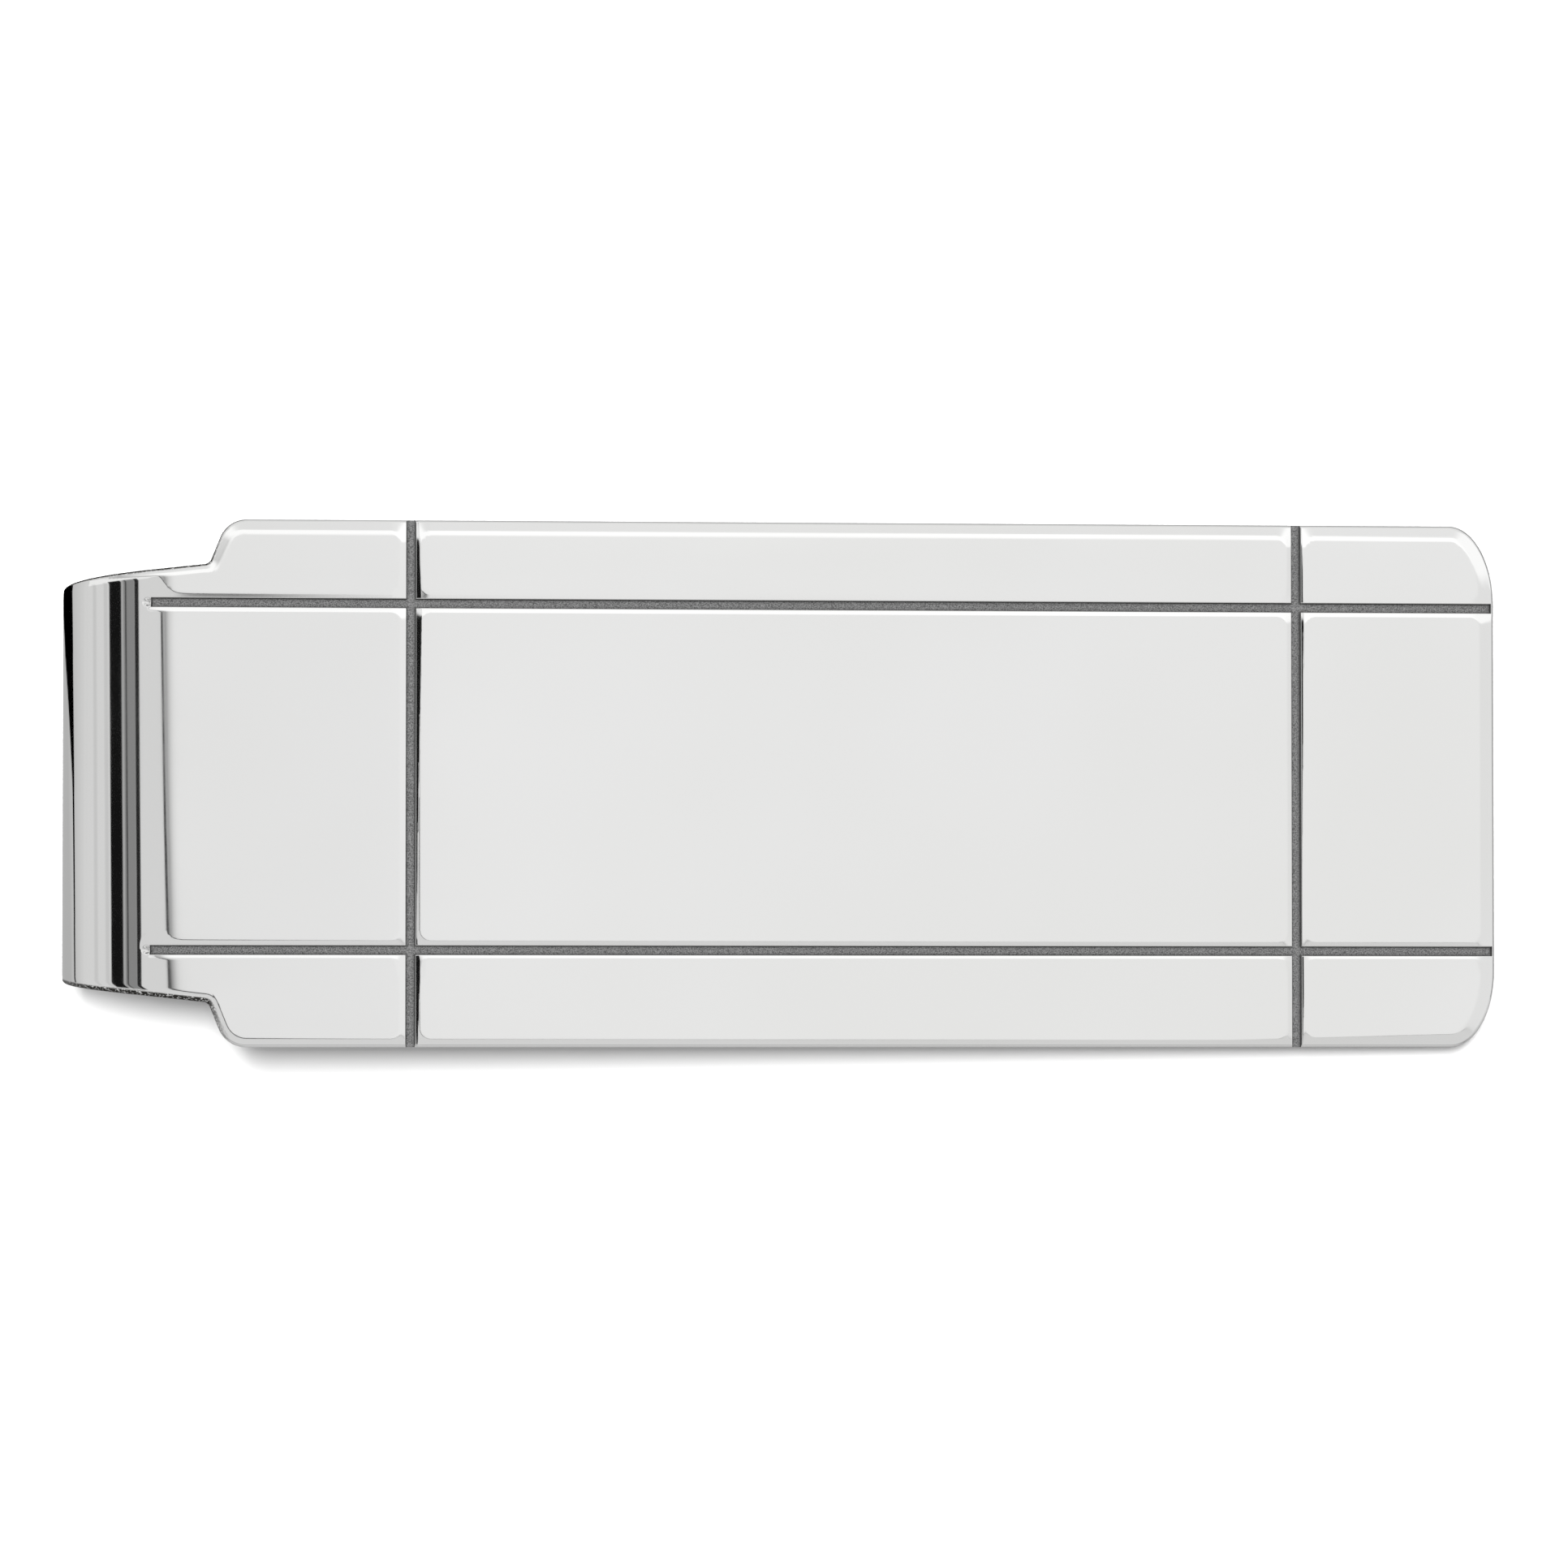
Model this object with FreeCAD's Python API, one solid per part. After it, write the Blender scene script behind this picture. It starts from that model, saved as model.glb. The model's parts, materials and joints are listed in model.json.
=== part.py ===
import FreeCAD, Part

# Money clip, bent from one strip of polished metal and drawn here in its three working zones:
# a wide grooved face plate, the fold that its neck rolls into, and the tapered back tongue that
# runs under the plate and presses folded notes against it.
#
# Every zone is drawn in the plate's own frame, in millimetres: u runs from the fold's centre to the
# plate's free end, v across the clip, and w up through the plate, with the origin on the fold's
# axis. The finished clip is then laid down as it rests on a table, on the round of its fold and on
# the tongue's lip, with z = 0 on the table and x = y = 0 in the middle of its box.

import math
import os

from FreeCAD import Placement, Rotation, Vector

# The strip and its overall size
STRIP = 1.1           # thickness of the metal
FOLD_R = 3.7          # outside radius of the fold
PLATE_L = 48.3        # from the fold's axis to the plate's free end
PLATE_HALF = 9.5      # half of the plate's 19 mm width

# Edges, rounded by polishing
OUTER_ROUND = 0.15    # on the outside of the strip: the front of the plate, the back of the tongue
INNER_ROUND = 0.1     # on the inside, where the notes slide

# Neck, and the stepped shoulders where it widens into the plate
NECK_HALF = 7.72      # half width of the strip where the fold begins
NECK_FLARE = 0.11     # half width gained for each mm from there to the shoulder
SHOULDER_LEAN = 22.0  # degrees that the shoulder leans from straight across the strip
CREASE_U = 1.40       # middle of the hollow corner between the neck and the shoulder
CREASE_R = 0.28       # round of that corner
SHOULDER_R = 1.05     # round corner between the shoulder and the plate's long edge

# Corners of the free end: quarter ellipses
CORNER_ALONG = 1.63
CORNER_ACROSS = 2.81

# Grooves cut into the face
GROOVE_WIDTH = 0.32
GROOVE_DEPTH = 0.25
GROOVE_V = (-6.01, 6.49)        # the two long grooves, a little off the clip's middle
GROOVE_ONTO_FOLD = 0.8          # how far they run round the fold
GROOVE_END_GAP = 0.1            # and how short of the free end they stop
CROSS_GROOVE_U = (8.84, 41.03)  # the two grooves across the plate

# Fold and tongue
STRIP_TAPER = 0.10    # half width lost for each mm round the outside of the fold
TONGUE_RISE = 9.0     # degrees that the tongue climbs towards the plate, and the fold's extra turn
GRIP_GAP = 0.3        # between the plate and the tongue's crest, with no notes in the clip
LIP_R = 25.0          # bend of the tongue's lip, along the middle of the strip
LIP_FALL = 13.0       # degrees that the lip's end points away from the plate
TONGUE_TIP_HALF = 3.0
TIP_ROUND = 2.2       # round corners of the tongue's tip

# Worked out from the sizes above
INNER_R = FOLD_R - STRIP
MID_R = FOLD_R - STRIP / 2
FOLD_TURN = 180 + TONGUE_RISE
CREST_W = INNER_R - GRIP_GAP - STRIP / 2  # middle of the strip at the tongue's crest

# For the modelling only
BEYOND = 2.0          # how far a cutting tool stands past what it cuts
TOUCHING = 1e-6       # points nearer than this count as one
FOLD_SECTIONS = 18    # equal steps that the fold's turn is lofted in


def rounded_section(half, outer, inner):
    """Corner points of the strip's section as (radius, v), each with the size of its round."""
    return [
        (outer, half, OUTER_ROUND),
        (outer, -half, OUTER_ROUND),
        (inner, -half, INNER_ROUND),
        (inner, half, INNER_ROUND),
    ]


def rounded_loop(corners, place):
    """Closed wire through the corners of a rectangle, with its corners rounded."""
    arcs = []
    for k, (a, b, size) in enumerate(corners):
        before = corners[k - 1]
        after = corners[(k + 1) % len(corners)]
        way_in = direction(before, (a, b))
        way_out = direction((a, b), after)
        start = (a - size * way_in[0], b - size * way_in[1])
        finish = (a + size * way_out[0], b + size * way_out[1])
        centre = (start[0] + size * way_out[0], start[1] + size * way_out[1])
        pull = size * math.sqrt(0.5)
        middle = (
            centre[0] + pull * (way_in[0] - way_out[0]),
            centre[1] + pull * (way_in[1] - way_out[1]),
        )
        arcs.append((start, middle, finish))
    edges = []
    for k, (start, middle, finish) in enumerate(arcs):
        next_start = arcs[(k + 1) % len(arcs)][0]
        edges.append(Part.Arc(place(*start), place(*middle), place(*finish)).toShape())
        edges.append(Part.makeLine(place(*finish), place(*next_start)))
    return Part.Wire(edges)


def direction(a, b):
    """Unit vector from a to b, by their first two numbers."""
    length = math.hypot(b[0] - a[0], b[1] - a[1])
    return (b[0] - a[0]) / length, (b[1] - a[1]) / length


def round_fold(turn):
    """Places a (radius, v) point on the fold, turned back from the top of the fold in degrees."""
    angle = math.radians(turn)

    def place(radius, v):
        return Vector(-radius * math.sin(angle), v, radius * math.cos(angle))

    return place


def fold_half(turn):
    """Half width of the strip at a turn round the fold."""
    return NECK_HALF - STRIP_TAPER * FOLD_R * math.radians(turn)


def shoulder_layout():
    """Centres of the hollow corner's round and of the shoulder's round, as (u, v)."""
    lean = math.radians(SHOULDER_LEAN)
    crease_v = NECK_HALF + NECK_FLARE * CREASE_U + CREASE_R * math.hypot(1, NECK_FLARE)
    shoulder_v = PLATE_HALF - SHOULDER_R
    sideways = (shoulder_v - crease_v) * math.sin(lean)
    shoulder_u = CREASE_U + (CREASE_R + SHOULDER_R + sideways) / math.cos(lean)
    return (CREASE_U, crease_v), (shoulder_u, shoulder_v)


def plate_outline():
    """Closed outline of the plate in plan, on the plane of its underside."""
    crease, shoulder = shoulder_layout()
    neck_way = math.degrees(math.atan(NECK_FLARE))
    crease_arc = flat_arc(crease, CREASE_R, neck_way - 90, -SHOULDER_LEAN)
    shoulder_arc = flat_arc(shoulder, SHOULDER_R, 180 - SHOULDER_LEAN, 90)
    corner_u = PLATE_L - CORNER_ALONG
    corner_v = PLATE_HALF - CORNER_ACROSS
    ellipse = Part.Ellipse(level(corner_u, PLATE_HALF), level(PLATE_L, corner_v), level(corner_u, corner_v))
    half = [
        Part.makeLine(level(0, NECK_HALF), crease_arc[0]),
        Part.Arc(*crease_arc).toShape(),
        Part.makeLine(crease_arc[-1], shoulder_arc[0]),
        Part.Arc(*shoulder_arc).toShape(),
        Part.makeLine(shoulder_arc[-1], level(corner_u, PLATE_HALF)),
        quarter_of(ellipse, level(PLATE_L, corner_v)),
    ]
    other_half = [edge.mirror(Vector(0, 0, 0), Vector(0, 1, 0)) for edge in half]
    ends = [
        Part.makeLine(level(PLATE_L, -corner_v), level(PLATE_L, corner_v)),
        Part.makeLine(level(0, -NECK_HALF), level(0, NECK_HALF)),
    ]
    return Part.Wire(Part.__sortEdges__(half + other_half + ends))


def flat_arc(centre, radius, first, last):
    """Start, middle and end of an arc in the plane of the plate's underside, by its angles in degrees."""
    points = []
    for turn in (first, (first + last) / 2, last):
        angle = math.radians(turn)
        points.append(level(centre[0] + radius * math.cos(angle), centre[1] + radius * math.sin(angle)))
    return points


def level(u, v):
    """A point in the plane of the plate's underside."""
    return Vector(u, v, INNER_R)


def quarter_of(ellipse, end):
    """The quarter of an ellipse that runs between the end of its long axis and a given end."""
    right = math.pi / 2
    for first in (0, -right):
        arc = ellipse.toShape(first, first + right)
        if min(end.distanceToPoint(vertex.Point) for vertex in arc.Vertexes) < TOUCHING:
            return arc
    raise ValueError("the end is not on the ellipse's short axis")


def face_grooves():
    """Tools for the grooves in the plate's face: two long ones and two across."""
    floor = FOLD_R - GROOVE_DEPTH
    tall = GROOVE_DEPTH + BEYOND
    half = GROOVE_WIDTH / 2
    end = PLATE_L - GROOVE_END_GAP - half
    tools = []
    for v in GROOVE_V:
        start = Vector(-BEYOND, v - half, floor)
        tools.append(Part.makeBox(end + BEYOND, GROOVE_WIDTH, tall, start))
        tools.append(Part.makeCylinder(half, tall, Vector(end, v, floor)))
    for u in CROSS_GROOVE_U:
        start = Vector(u - half, -PLATE_HALF - BEYOND, floor)
        tools.append(Part.makeBox(GROOVE_WIDTH, 2 * (PLATE_HALF + BEYOND), tall, start))
    return tools


def fold_grooves():
    """Tools for the round-ended stretches of the two long grooves that run onto the fold."""
    half = GROOVE_WIDTH / 2
    floor = FOLD_R - GROOVE_DEPTH
    turn = math.degrees((GROOVE_ONTO_FOLD - half) / FOLD_R)
    tools = []
    for v in GROOVE_V:
        corners = [(floor, -half), (floor, half), (FOLD_R + BEYOND, half), (FOLD_R + BEYOND, -half)]
        points = [Vector(0, v + across, radius) for radius, across in corners]
        section = Part.Face(Part.makePolygon(points + points[:1]))
        ring = section.revolve(Vector(0, 0, 0), Vector(0, -1, 0), turn)
        outward = round_fold(turn)(1, 0)
        foot = outward * floor + Vector(0, v, 0)
        tools.append(ring)
        tools.append(Part.makeCylinder(half, GROOVE_DEPTH + BEYOND, foot, outward))
    return tools


def front_plate():
    """The flat face plate with its neck, rounded rims and four grooves."""
    blank = Part.Face(plate_outline()).extrude(Vector(0, 0, STRIP))
    plate = round_rims(blank, FOLD_R, OUTER_ROUND)
    plate = round_rims(plate, INNER_R, INNER_ROUND)
    return plate.cut(face_grooves())


def round_rims(blank, height, size):
    """Rounds the plate's rim at one height, except the edge that meets the fold."""
    rims = []
    for edge in blank.Edges:
        box = edge.BoundBox
        on_rim = abs(box.ZMin - height) < TOUCHING and abs(box.ZMax - height) < TOUCHING
        on_fold = box.XMax < TOUCHING
        if on_rim and not on_fold:
            rims.append(edge)
    return blank.makeFillet(size, rims)


def fold():
    """The spring: the strip rolled round a little more than half a circle, tapering as it goes."""
    sections = []
    for k in range(FOLD_SECTIONS + 1):
        turn = FOLD_TURN * k / FOLD_SECTIONS
        corners = rounded_section(fold_half(turn), FOLD_R, INNER_R)
        sections.append(rounded_loop(corners, round_fold(turn)))
    return Part.makeLoft(sections, True, False).cut(fold_grooves())


def lip_centre():
    """Centre of the lip's bend as (u, w), under the tongue's crest."""
    rise = math.radians(TONGUE_RISE)
    leave_u, leave_w = MID_R * math.sin(rise), -MID_R * math.cos(rise)
    bend_w = CREST_W - LIP_R * (1 - math.cos(rise))
    bend_u = leave_u + (bend_w - leave_w) / math.tan(rise)
    return bend_u + LIP_R * math.sin(rise), CREST_W - LIP_R


def on_lip(height, slope):
    """Point of the lip at a height in the strip, where the strip slopes by some degrees."""
    centre_u, centre_w = lip_centre()
    angle = math.radians(slope)
    radius = LIP_R + height
    return Vector(centre_u - radius * math.sin(angle), 0, centre_w + radius * math.cos(angle))


def tongue_side():
    """Side view of the tongue: a straight climb from the fold, the crest and the falling lip."""
    seam = round_fold(FOLD_TURN)
    edges = []
    for height, fold_radius in ((-STRIP / 2, FOLD_R), (STRIP / 2, INNER_R)):
        start, finish = on_lip(height, TONGUE_RISE), on_lip(height, -LIP_FALL)
        edges.append(Part.makeLine(seam(fold_radius, 0), start))
        edges.append(Part.Arc(start, on_lip(height, 0), finish).toShape())
    edges.append(Part.makeLine(seam(INNER_R, 0), seam(FOLD_R, 0)))
    edges.append(Part.makeLine(on_lip(-STRIP / 2, -LIP_FALL), on_lip(STRIP / 2, -LIP_FALL)))
    return Part.Face(Part.Wire(Part.__sortEdges__(edges)))


def tongue_plan():
    """Upright block whose plan is the tongue's: tapered, with round corners at the tip."""
    first = MID_R * math.sin(math.radians(TONGUE_RISE))
    last = on_lip(0, -LIP_FALL).x
    root = fold_half(FOLD_TURN)
    taper = (root - TONGUE_TIP_HALF) / (last - first)
    back_half = root + taper * BEYOND
    corners = [
        Vector(first - BEYOND, -back_half, -FOLD_R - BEYOND),
        Vector(last, -TONGUE_TIP_HALF, -FOLD_R - BEYOND),
        Vector(last, TONGUE_TIP_HALF, -FOLD_R - BEYOND),
        Vector(first - BEYOND, back_half, -FOLD_R - BEYOND),
    ]
    block = Part.Face(Part.makePolygon(corners + corners[:1])).extrude(Vector(0, 0, 2 * (FOLD_R + BEYOND)))
    tip_edges = []
    for edge in block.Edges:
        box = edge.BoundBox
        if box.XMin > last - TOUCHING and box.YLength < TOUCHING:
            tip_edges.append(edge)
    return block.makeFillet(TIP_ROUND, tip_edges)


def height_in_tongue(point):
    """How far a point lies from the middle of the tongue's strip, plus towards the plate."""
    centre_u, centre_w = lip_centre()
    rise = math.radians(TONGUE_RISE)
    if point.x > on_lip(0, TONGUE_RISE).x:
        return math.hypot(point.x - centre_u, point.z - centre_w) - LIP_R
    return point.z * math.cos(rise) - point.x * math.sin(rise) + MID_R


def back_tongue():
    """The tapered tongue with its crest, flared lip and rounded tip and edges."""
    wide = 2 * NECK_HALF
    slab = tongue_side().extrude(Vector(0, 2 * wide, 0))
    slab.translate(Vector(0, -wide, 0))
    tongue = slab.common(tongue_plan()).Solids[0]
    tongue = round_tongue(tongue, -STRIP / 2, OUTER_ROUND)
    return round_tongue(tongue, STRIP / 2, INNER_ROUND)


def round_tongue(tongue, height, size):
    """Rounds the tongue's rim on one side of the strip, except the edge that meets the fold."""
    near_tip = on_lip(0, 0).x
    rims = []
    for edge in tongue.Edges:
        middle = edge.valueAt((edge.FirstParameter + edge.LastParameter) / 2)
        across = abs(middle.y) < TOUCHING and middle.x < near_tip
        if not across and abs(height_in_tongue(middle) - height) < STRIP / 10:
            rims.append(edge)
    return tongue.makeFillet(size, rims)


def resting_place():
    """Lays the clip down on the round of its fold and on the rounded edge of the lip."""
    fall = math.radians(LIP_FALL)
    back_along_lip = Vector(-math.cos(fall), 0, math.sin(fall))
    rim = on_lip(OUTER_ROUND - STRIP / 2, -LIP_FALL) + back_along_lip * OUTER_ROUND
    reach = math.hypot(rim.x, rim.z)
    tilt = math.atan2(rim.z, rim.x) + math.asin((FOLD_R - OUTER_ROUND) / reach)
    rim_u = PLATE_L - OUTER_ROUND
    rim_w = FOLD_R - OUTER_ROUND
    far_x = rim_u * math.cos(tilt) + rim_w * math.sin(tilt) + OUTER_ROUND
    shift = (FOLD_R - far_x) / 2
    turn = Rotation(Vector(0, 1, 0), math.degrees(tilt))
    return Placement(Vector(shift, 0, FOLD_R), turn)


def main():
    os.makedirs("parts", exist_ok=True)
    rest = resting_place()
    zones = {"front_plate": front_plate(), "fold": fold(), "back_tongue": back_tongue()}
    for name, shape in zones.items():
        laid = shape.copy()
        laid.Placement = rest.multiply(laid.Placement)
        laid.exportStep(f"parts/{name}.step")
        print(name, "volume", round(laid.Volume, 1), "valid", laid.isValid())
    print("tilt", round(math.degrees(rest.Rotation.Angle), 3), "fold axis", rest.Base)


main()
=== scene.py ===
import json
import math

import bpy
import numpy as np
from mathutils import Matrix, Vector


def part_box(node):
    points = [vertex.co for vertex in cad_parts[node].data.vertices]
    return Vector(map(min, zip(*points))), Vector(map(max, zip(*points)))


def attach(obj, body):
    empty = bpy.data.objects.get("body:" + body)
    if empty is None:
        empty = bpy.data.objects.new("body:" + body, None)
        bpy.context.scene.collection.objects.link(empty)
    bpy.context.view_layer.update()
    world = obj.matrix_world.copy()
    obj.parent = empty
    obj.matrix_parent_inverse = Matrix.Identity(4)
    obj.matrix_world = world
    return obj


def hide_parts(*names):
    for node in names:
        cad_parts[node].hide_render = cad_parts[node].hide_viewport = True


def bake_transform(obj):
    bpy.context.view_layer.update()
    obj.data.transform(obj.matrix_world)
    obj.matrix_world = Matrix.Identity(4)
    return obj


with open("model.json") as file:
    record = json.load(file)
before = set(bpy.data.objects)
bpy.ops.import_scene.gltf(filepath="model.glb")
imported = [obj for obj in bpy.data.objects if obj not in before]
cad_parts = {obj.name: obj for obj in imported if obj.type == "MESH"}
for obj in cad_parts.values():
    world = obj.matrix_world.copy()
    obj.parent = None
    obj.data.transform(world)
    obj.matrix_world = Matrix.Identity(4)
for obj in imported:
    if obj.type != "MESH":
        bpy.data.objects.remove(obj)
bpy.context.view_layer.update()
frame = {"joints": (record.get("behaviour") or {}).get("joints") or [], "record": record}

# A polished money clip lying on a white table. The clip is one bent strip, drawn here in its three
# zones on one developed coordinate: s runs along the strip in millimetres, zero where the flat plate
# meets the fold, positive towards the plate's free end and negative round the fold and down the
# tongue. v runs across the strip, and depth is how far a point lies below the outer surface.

MM = 0.001

# ---------------------------------------------------------------- sizes, from the frame
joint = frame["joints"][0]
FOLD_AXIS = np.array(joint["pos_m"])
face_mount = next(m for m in frame["record"]["mounts"] if m["name"] == "face_panel")
TILT = math.atan2(face_mount["axis"][0], face_mount["axis"][2])

FOLD_R = FOLD_AXIS[2] / MM             # the fold stands on the table, so its axis is this high
PLATE_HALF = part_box("front_plate")[1][1] / MM
NECK_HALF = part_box("fold")[1][1] / MM
TONGUE_ROOT_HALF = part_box("back_tongue")[1][1] / MM

# ---------------------------------------------------------------- sizes of the strip, millimetres
STRIP = 1.1
INNER_R = FOLD_R - STRIP
MID_R = FOLD_R - STRIP / 2
PLATE_L = 48.3

NECK_FLARE = 0.11
SHOULDER_LEAN = math.radians(22.0)
CREASE_S = 1.40
CREASE_R = 0.28
SHOULDER_R = 1.05
CORNER_ALONG = 1.63
CORNER_ACROSS = 2.81

GROOVE_HALF = 0.16
GROOVE_DEPTH = 0.25
GROOVE_V = (6.49, -6.01)      # the long grooves, a little off the clip's middle
GROOVE_START = -0.5
GROOVE_FINISH = PLATE_L - 0.1
CROSS_GROOVES = (8.84, 41.03)
WALL_LEAN = 0.012
CROSS_CHAMFERS = ((0.245, 0.50), (0.13, 0.62))  # worn slope beyond each cross groove: width and steepness
CHAMFER_SHARE = ((-9.5, 0.5), (-6.5, 0.9), (-5.5, 0.3), (-3.0, 0.4), (6.0, 1.0), (9.5, 0.5))
DIMPLE_S = -0.63
DIMPLE_R = 0.19
DIMPLE_DEPTH = 0.11

TONGUE_RISE = math.radians(9.0)
LIP_FALL = math.radians(13.0)
LIP_R = 25.0
GRIP_GAP = 0.3
TIP_HALF = 3.0
TIP_ROUND = 2.2

# Edges: polishing lays the last few tenths of a millimetre over at a gentle lean, which eases in over
# a soft width, and the edge itself is a small round
OUTER_EDGE = {"lean": 0.080, "soft": 0.22, "round": 0.10}
INNER_EDGE = {"lean": 0.10, "soft": 0.30, "round": 0.08}
INNER_REACH = 0.45
REACH_ON_FOLD = 0.36     # how far in the roll starts: from the fold's edges,
REACH_AT_BACK = 0.56     # the plate's edge at +v,
REACH_AT_FRONT = 0.38    # its edge at -v,
REACH_AT_END = 0.60      # and its free end
GROOVE_EDGE = {"lean": 0.068, "soft": 0.12, "round": 0.035}
GROOVE_REACH = 0.25
GROOVE_REACH_IN_FRONT = 0.21
PANEL_CORNER = 0.3       # the rolls run round the panels' corners at this radius
NECK_REACH = 0.55        # on their +v side the long grooves' edges are worn this much wider at the neck,
NECK_REACH_S = -0.35     # most of all here,
NECK_REACH_FADE = 0.45   # and less with every such step from it
CHAMFER_SOFT = 0.02
CHAMFER_ROUND = 0.05
STEEPEST = 0.9995
WEAR_FADE = 0.25         # how quickly the wear of an edge fades away from it
CORNER_SHADE_FADE = 0.04       # and the painted shade in a groove's corners
BEND_EASE = 0.2          # how softly the flat plate starts to turn into the fold
BEND_EASE_REACH = 5      # the easing is over this many such lengths away
EXPONENT_LIMIT = 30

# Distances that count as none
ON_EDGE = 1e-4
SAME_STATION = 1e-5
ON_RIM = 1e-6
TINY = 1e-9

# The neck's and the fold's edges keep the rough dark skin of the shears, wider at -v
# Their dark colour is also a painted dark reflection along these edges
SHEARED_AT_FRONT = 0.16
SHEARED_AT_BACK = 0.07
SHEARED_SOFT = 0.04
SHEARED_S = (-6.5, 2.4)  # from the outside of the fold to half way up the shoulder
SHEARED_FADE = 0.8

# Points along the outline's curves
NECK_STEPS = 8
CREASE_POINTS = 9
SHOULDER_POINTS = 20
CORNER_POINTS = 40
TIP_POINTS = 24

# Rows of vertices across the strip: distances from the edge and from the middle of a groove
EDGE_ROWS = (0, 0.003, 0.01, 0.02, 0.035, 0.05, 0.07, 0.1, 0.14, 0.18, 0.23, 0.29, 0.35, 0.42, 0.5,
             0.6, 0.72, 0.85, 1.0, 1.25, 1.6, 2.0, 2.45)
GROOVE_ROWS = (0, 0.06, 0.11, 0.13, GROOVE_HALF - WALL_LEAN, GROOVE_HALF, 0.163, 0.17, 0.18, 0.195, 0.21,
               0.235, 0.27, 0.30, 0.33, 0.36, 0.40, 0.46, 0.56, 0.7)
FREE_ROWS_PAST = 0.4     # this far past a long groove's middle, the rows follow the strip's edge
CHAMFER_ROWS = (0.04, 0.06, 0.08, 0.14, 0.17, 0.18, 0.19, 0.20, 0.21, 0.225, 0.235, 0.245, 0.255)
END_ROWS = tuple(d for d in EDGE_ROWS if d < 1)
PANEL_ROW_GAP = 0.9
ROWS_TAPER_FROM = -1.3

# Stations along the strip
STATION_GAP = 0.9
FOLD_STEPS = 63
FOLD_STEP = 3            # degrees
MEETING_STEPS = 15       # close stations on each side of where the plate meets the fold
MEETING_STEP = 0.05
LIP_STEPS = 30
RUN_OUT_ROWS = (0.003, 0.01, 0.02, 0.035, 0.055, 0.08)  # just outside the ends of the long grooves
RUN_OUT_INSIDE = 0.08
DIMPLE_STEPS = 7         # stations to a dimple's radius
DIMPLE_STEPS_BEFORE = 9  # and how many of them there are before its middle
FOLD_END_S = -FOLD_R * (math.pi + TONGUE_RISE)


# ---------------------------------------------------------------- the strip's side view
def tongue_layout():
    """Length of the tongue's straight climb and the centre of its lip's bend."""
    crest_w = INNER_R - GRIP_GAP - STRIP / 2
    leave = (MID_R * math.sin(TONGUE_RISE), -MID_R * math.cos(TONGUE_RISE))
    bend_w = crest_w - LIP_R * (1 - math.cos(TONGUE_RISE))
    climb = (bend_w - leave[1]) / math.sin(TONGUE_RISE)
    bend_u = leave[0] + climb * math.cos(TONGUE_RISE)
    centre = (bend_u + LIP_R * math.sin(TONGUE_RISE), crest_w - LIP_R)
    return leave, climb, centre


LEAVE, CLIMB, LIP_CENTRE = tongue_layout()
LIP_LENGTH = LIP_R * (TONGUE_RISE + LIP_FALL)
STRIP_END_S = FOLD_END_S - CLIMB - LIP_LENGTH


def side_view(s):
    """Middle line of the strip at each s: (u, w) and the turn of its outward normal."""
    turn = np.where(s < 0, np.clip(-s / FOLD_R, 0, math.pi + TONGUE_RISE), 0.0)
    u = -MID_R * np.sin(turn) + np.maximum(s, 0)
    w = MID_R * np.cos(turn)
    past = np.clip(FOLD_END_S - s, 0, None)
    on_climb = (past > 0) & (past <= CLIMB)
    u = np.where(on_climb, LEAVE[0] + past * math.cos(TONGUE_RISE), u)
    w = np.where(on_climb, LEAVE[1] + past * math.sin(TONGUE_RISE), w)
    slope = TONGUE_RISE - np.clip(past - CLIMB, 0, None) / LIP_R
    on_lip = past > CLIMB
    u = np.where(on_lip, LIP_CENTRE[0] - LIP_R * np.sin(slope), u)
    w = np.where(on_lip, LIP_CENTRE[1] + LIP_R * np.cos(slope), w)
    turn = np.where(on_lip, math.pi + slope, turn)
    return u, w, turn


def softened(s, turn):
    """Turn of the polished surface's normal: the bend eases in where the flat plate meets the fold."""
    eased = BEND_EASE / FOLD_R * np.log1p(np.exp(np.clip(-s / BEND_EASE, -EXPONENT_LIMIT, EXPONENT_LIMIT)))
    return np.where(np.abs(s) < BEND_EASE_REACH * BEND_EASE, eased, turn)


# ---------------------------------------------------------------- the strip's outline
def shoulder_layout():
    """Centres of the crease's round and of the shoulder's round, with a leaning wall between them."""
    crease_v = NECK_HALF + NECK_FLARE * CREASE_S + CREASE_R * math.hypot(1, NECK_FLARE)
    shoulder_v = PLATE_HALF - SHOULDER_R
    sideways = (shoulder_v - crease_v) * math.sin(SHOULDER_LEAN)
    shoulder_s = CREASE_S + (CREASE_R + SHOULDER_R + sideways) / math.cos(SHOULDER_LEAN)
    return (CREASE_S, crease_v), (shoulder_s, shoulder_v)


CREASE, SHOULDER = shoulder_layout()


def plate_edge():
    """Half width of the plate along its length, as (s, half) points from the neck to the free end."""
    points = []
    for k in range(NECK_STEPS):
        points.append((k * CREASE_S / NECK_STEPS, NECK_HALF + NECK_FLARE * k * CREASE_S / NECK_STEPS))
    for angle in np.linspace(math.atan(NECK_FLARE) - math.pi / 2, -SHOULDER_LEAN, CREASE_POINTS):
        points.append((CREASE[0] + CREASE_R * math.cos(angle), CREASE[1] + CREASE_R * math.sin(angle)))
    for angle in np.linspace(SHOULDER_LEAN, math.pi / 2, SHOULDER_POINTS):
        across = SHOULDER_R * math.sin(angle)
        points.append((SHOULDER[0] - SHOULDER_R * math.cos(angle), SHOULDER[1] + across))
    corner_s = PLATE_L - CORNER_ALONG
    corner_v = PLATE_HALF - CORNER_ACROSS
    for angle in np.linspace(0, math.pi / 2, CORNER_POINTS):
        points.append((corner_s + CORNER_ALONG * math.sin(angle), corner_v + CORNER_ACROSS * math.cos(angle)))
    return points


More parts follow.
